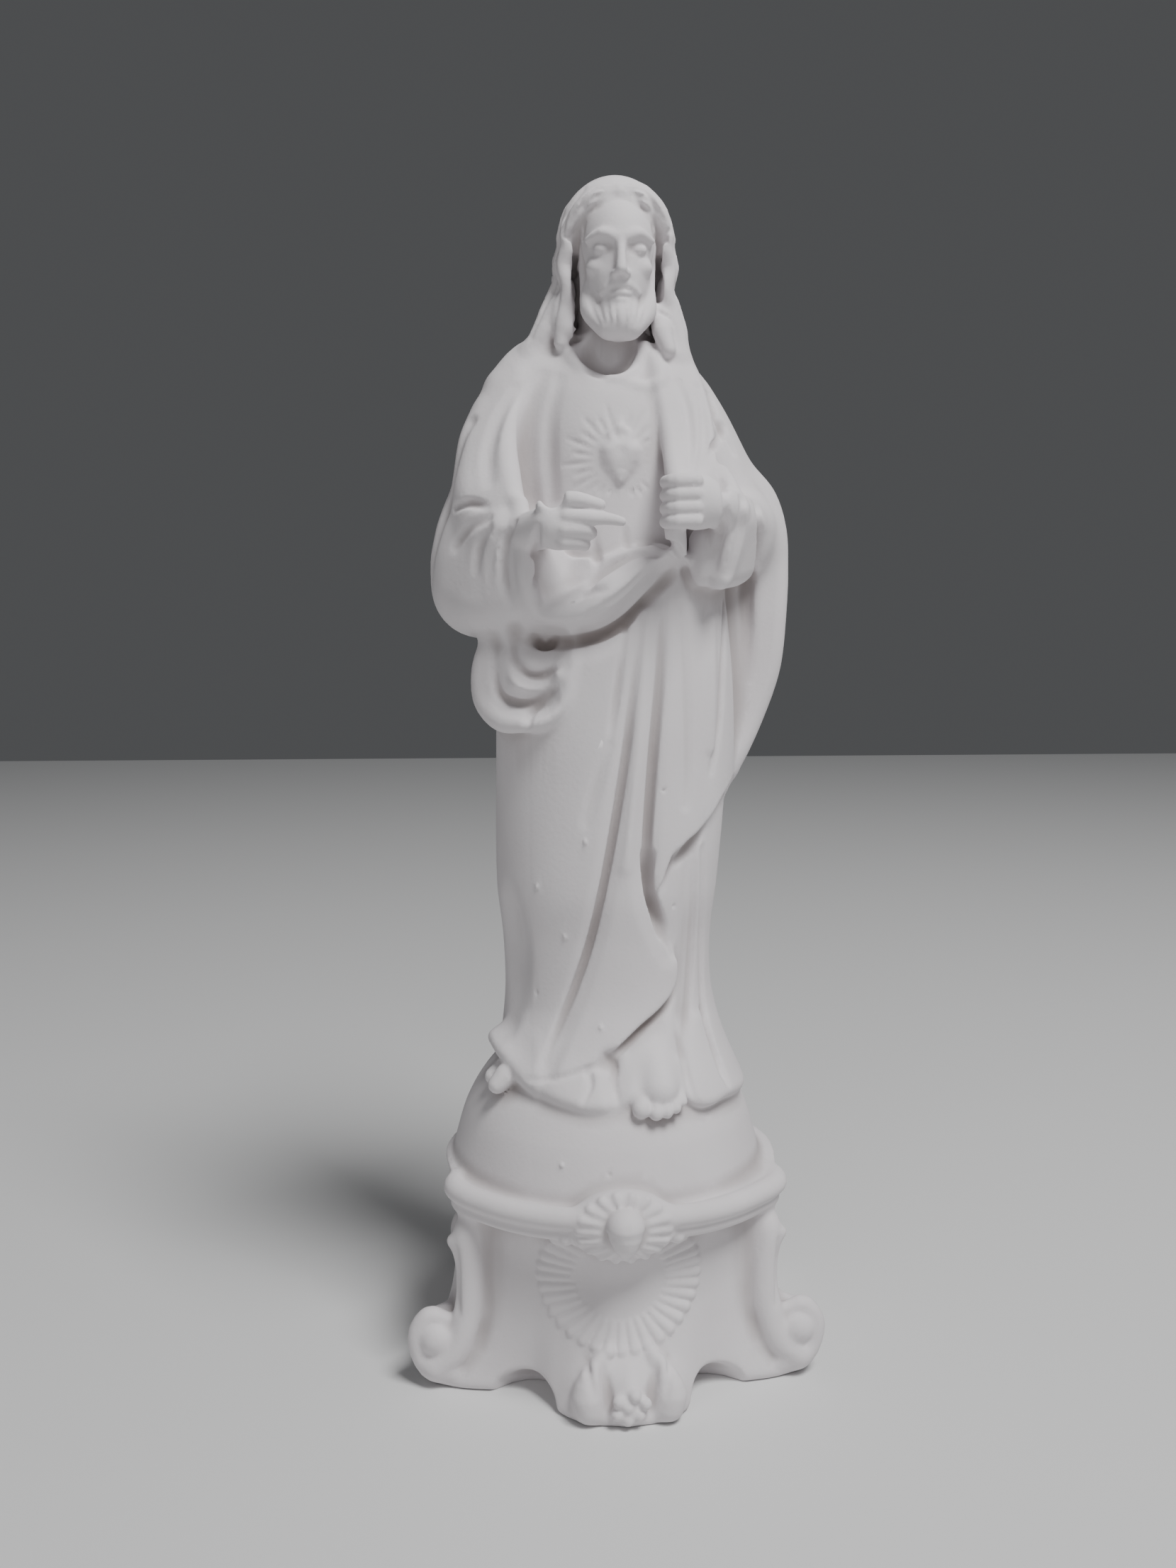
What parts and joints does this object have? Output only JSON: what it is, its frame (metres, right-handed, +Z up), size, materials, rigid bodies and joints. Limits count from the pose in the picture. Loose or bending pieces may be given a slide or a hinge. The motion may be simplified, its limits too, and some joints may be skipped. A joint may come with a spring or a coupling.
{
  "type": "plaster statuette",
  "caption": "White cast plaster statuette of a robed, bearded figure with a heart in rays on the breast, on a half globe and a scrolled rococo base.",
  "frame": {"origin": "on the table under the middle of the base's outline", "axes": "+Z up, the figure faces -Y, +X is the figure's left and the viewer's right"},
  "size_m": [0.1052, 0.1012, 0.3],
  "materials": {
    "plaster": "matte cast plaster, unpainted"
  },
  "bodies": {
    "root": {"statue": "plaster"}
  },
  "joints": []
}
